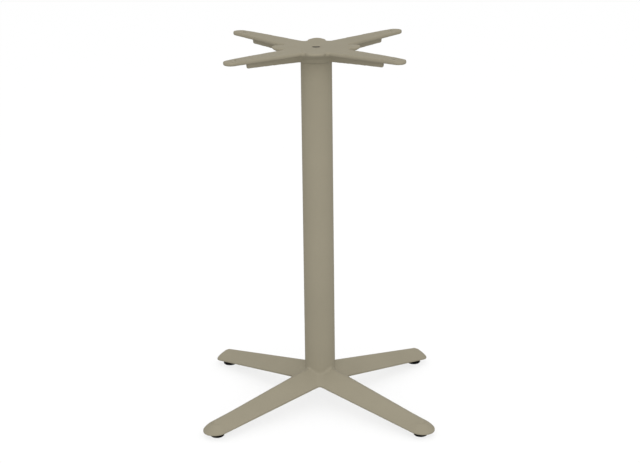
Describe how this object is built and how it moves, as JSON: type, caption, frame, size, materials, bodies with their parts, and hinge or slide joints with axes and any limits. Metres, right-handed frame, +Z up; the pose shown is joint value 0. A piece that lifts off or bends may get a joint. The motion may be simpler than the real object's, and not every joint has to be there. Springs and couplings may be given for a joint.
{
  "type": "table base",
  "caption": "Pedestal table base: ridged sloping cast legs on levelling feet, round column, and a cross-shaped top bracket with lobes that carries the table top.",
  "frame": {"origin": "on the column's axis, on the floor", "axes": "+Z up along the column; the legs and arms lie on the diagonals between X and Y"},
  "size_m": [0.4432, 0.4432, 0.72],
  "materials": {
    "casting": "matte taupe powder coat",
    "tube": "matte taupe powder coat",
    "steel": "zinc plated",
    "pad": "moulded"
  },
  "bodies": {
    "stand": {"base_casting": "casting", "column_tube": "tube", "top_spider": "casting", "tie_rod": "steel", "rod_washer": "steel", "rod_nut": "steel"},
    "foot_1": {"foot_pad_1": "pad", "foot_stud_1": "steel"},
    "foot_2": {"foot_pad_2": "pad", "foot_stud_2": "steel"},
    "foot_3": {"foot_pad_3": "pad", "foot_stud_3": "steel"},
    "foot_4": {"foot_pad_4": "pad", "foot_stud_4": "steel"}
  },
  "joints": [
    {"name": "foot_1_level", "type": "slide", "parent": "stand", "child": "foot_1", "axis": [0, 0, 1], "range_m": [-0.01, 0]},
    {"name": "foot_2_level", "type": "slide", "parent": "stand", "child": "foot_2", "axis": [0, 0, 1], "range_m": [-0.01, 0]},
    {"name": "foot_3_level", "type": "slide", "parent": "stand", "child": "foot_3", "axis": [0, 0, 1], "range_m": [-0.01, 0]},
    {"name": "foot_4_level", "type": "slide", "parent": "stand", "child": "foot_4", "axis": [0, 0, 1], "range_m": [-0.01, 0]}
  ]
}
